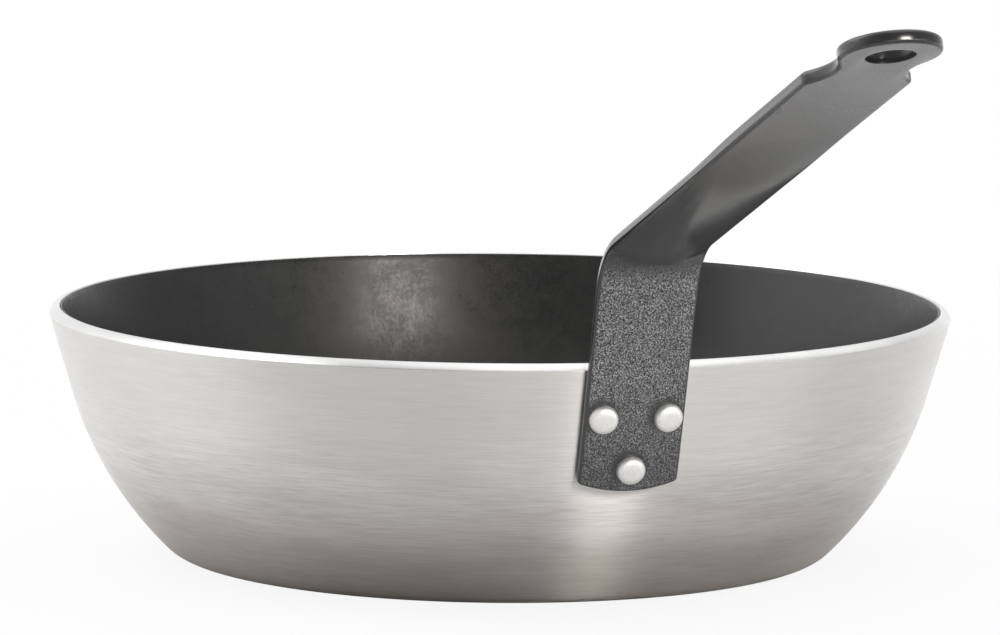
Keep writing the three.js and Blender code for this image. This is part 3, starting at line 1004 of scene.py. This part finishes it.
corners = [(-1, -1), (1, -1), (1, 1), (-1, 1)]
floor_points = [(side * FLOOR_REACH, end * FLOOR_REACH, -FLOOR_DROP) for side, end in corners]
floor = new_piece("floor", floor_points, [(0, 1, 2, 3)])
paper, bench = new_finish("floor_paper")
ray = bench.node("ShaderNodeLightPath")
x, y, _ = bench.split(bench.place())
from_pan = (x * x + y * y) ** 0.5 + AXIS_GAP
near = 1 - bench.ease(from_pan, *SHADOW_FADE)
behind = 1 - bench.ease((x * to_camera.x + y * to_camera.y) / from_pan, -0.3, 0.5)
far_glow = FAR_GLOW * ray.out("Is Glossy Ray") * behind * bench.ease(from_pan, *FAR_FADE)
lit = bench.node("ShaderNodeBsdfDiffuse", {}, {"Color": PAPER})
far_light = bench.node("ShaderNodeEmission", {}, {"Color": WHITE, "Strength": far_glow})
lit = bench.node("ShaderNodeAddShader", {}, {0: lit, 1: far_light})
white = bench.node("ShaderNodeEmission", {}, {"Color": WHITE, "Strength": 1.0})
shown = 1 - ray.out("Is Camera Ray") * (1 - SHADOW_SHARE * near)
paper_mix = bench.node("ShaderNodeMixShader", {}, {0: shown, 1: white, 2: lit})
bench.node("ShaderNodeOutputMaterial", {}, {"Surface": paper_mix})
floor.data.materials.append(paper)
print("floor across in m:", 2 * FLOOR_REACH)

# %% [markdown]
# ## Lamps
#
# A wide softbox hangs over the pan and a second one fills from the left. A third lifts the floor on the
# right. The first and the third light the floor and the paint but are hidden from reflections, where they
# would bleach the bright metal. The small warm key to the right of the camera does the opposite: it shows
# in reflections alone, and makes the glow on the far inside wall, the glint on the eye's end and the
# upright streak on the brushed wall.

# %% Lamps
KEY_TINT = (1, 0.95, 0.9)


def softbox(name, side, rise, distance, width, height, radiance):
    """A lamp aimed at the pan, placed in degrees; its power follows from how bright its face looks."""
    lamp = bpy.data.lights.new(name, "AREA")
    lamp.shape = "RECTANGLE"
    lamp.size, lamp.size_y = width, height
    lamp.energy = radiance * math.pi * width * height
    holder = bpy.data.objects.new(name, lamp)
    scene.collection.objects.link(holder)
    to_lamp = direction(math.radians(side), math.radians(rise))
    holder.location = RIM_MIDDLE + to_lamp * distance
    holder.rotation_euler = to_lamp.to_track_quat("Z", "Y").to_euler()
    print(name, "watts:", round(lamp.energy, 1))
    return holder


overhead = softbox("overhead", side=180, rise=82, distance=1.5, width=2.3, height=2.3, radiance=1.1)
softbox("fill", side=-110, rise=42, distance=1.6, width=1.2, height=1.2, radiance=1.5)
key = softbox("key", side=14, rise=21, distance=1.5, width=0.42, height=0.34, radiance=24.0)
right = softbox("right", side=75, rise=35, distance=1.6, width=1.0, height=1.0, radiance=1.0)
key.data.color = KEY_TINT
key.visible_diffuse = False
overhead.visible_glossy = False
right.visible_glossy = False

# %% [markdown]
# ## Room
#
# The room is white behind the pan and dim on the camera's side, as in a studio where the photographer
# stands in the dark, and lighter on the left than on the right. A picture of a room could light the pan,
# but a few soft glows are easier to place. The nodes ask which way a ray goes and of what kind it is: the
# camera sees plain white, and mirrored rays also see a glow low in front, one high at the back and one
# straight above, which the slope of the rim catches.

# %% Room
BACK_LEVEL = 0.97
CAMERA_SIDE_LOSS = 0.68
LOW_FRONT_SIDE = math.radians(25)  # from the handle's direction
LOW_FRONT_GLOW = 3.2
ABOVE_GLOW = 0.82
ROOM_LIGHT = 0.55  # the room's share in lighting the floor and the paint

room = bpy.data.worlds.new("studio")
room.use_nodes = True
scene.world = room
bench = Bench(room.node_tree)
ray = bench.node("ShaderNodeLightPath")
way = bench.node("ShaderNodeTexCoord").out("Generated")
rise = bench.split(way)[2]
facing = bench.measure("DOT_PRODUCT", way, to_camera)
sideways = bench.measure("DOT_PRODUCT", way, level)
forward = bench.measure("DOT_PRODUCT", way, direction(LOW_FRONT_SIDE, 0))

dimness = bench.ease(facing, 0.0, 0.75)
beside = bench.ease(facing, -0.95, -0.55)
side_loss = sideways * beside * (0.43 + 0.13 * sideways)
glow = (BACK_LEVEL - CAMERA_SIDE_LOSS * dimness) * (1.0 - side_loss)
low_front = bench.ease(forward, 0.5, 1.0) * (1 - bench.ease(rise, 0.05, 0.4))
high_back = bench.ease(rise, 0.35, 0.65) * bench.ease(facing * -1.0, 0.0, 0.4)
high_back = high_back * (0.15 + 0.42 * bench.ease(sideways, 0.05, 0.27))
above = bench.ease(rise, 0.65, 1.0) * bench.ease(sideways, -0.3, 0.0)
in_metal = glow + LOW_FRONT_GLOW * low_front + high_back + ABOVE_GLOW * above

seen = ray.out("Is Camera Ray") + ray.out("Is Transmission Ray")
mirrored = ray.out("Is Glossy Ray") * (1 - seen)
other = 1 - seen - mirrored
strength = seen + mirrored * in_metal + other * ROOM_LIGHT * glow
backdrop = bench.node("ShaderNodeBackground", {}, {"Color": WHITE, "Strength": strength})
bench.node("ShaderNodeOutputWorld", {}, {"Surface": backdrop})
print("room nodes:", len(room.node_tree.nodes))

# %% [markdown]
# ## Colour view
#
# Colours are shown as they are, with no film look.

# %% Colour view
scene.view_settings.view_transform = "Standard"
